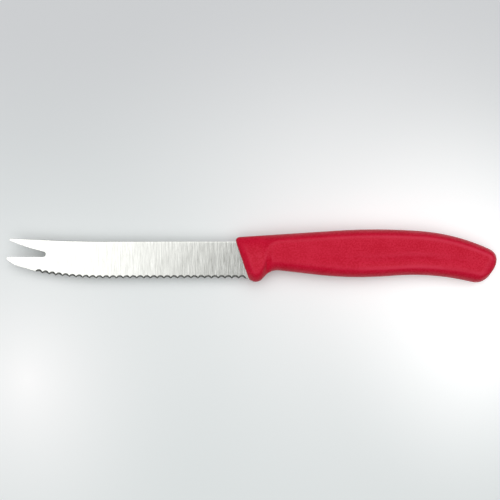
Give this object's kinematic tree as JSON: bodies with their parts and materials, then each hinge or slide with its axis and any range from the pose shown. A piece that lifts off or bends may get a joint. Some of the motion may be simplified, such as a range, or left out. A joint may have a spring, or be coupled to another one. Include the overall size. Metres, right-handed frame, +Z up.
{
  "type": "tomato knife",
  "caption": "Slim kitchen knife with a wavy, one-side-ground edge, a forked tip for lifting slices, and a moulded handle with a finger guard.",
  "frame": {"origin": "on the surface that the handle's flat side rests on, under the middle of the knife's outline", "axes": "the knife lies on its side: +X from the tip to the butt, +Y from the edge to the spine, +Z up, towards the side on which the scallops are ground"},
  "size_m": [0.2216, 0.024, 0.0126],
  "materials": {
    "blade_steel": "cold-rolled stainless steel, taper-ground on both sides and finished with fine lines across the blade; the scallops are ground darker and on one side only",
    "handle_plastic": "crimson injection-moulded polypropylene with a fine spark-eroded texture"
  },
  "bodies": {
    "root": {"blade": "blade_steel", "handle": "handle_plastic"}
  },
  "joints": []
}
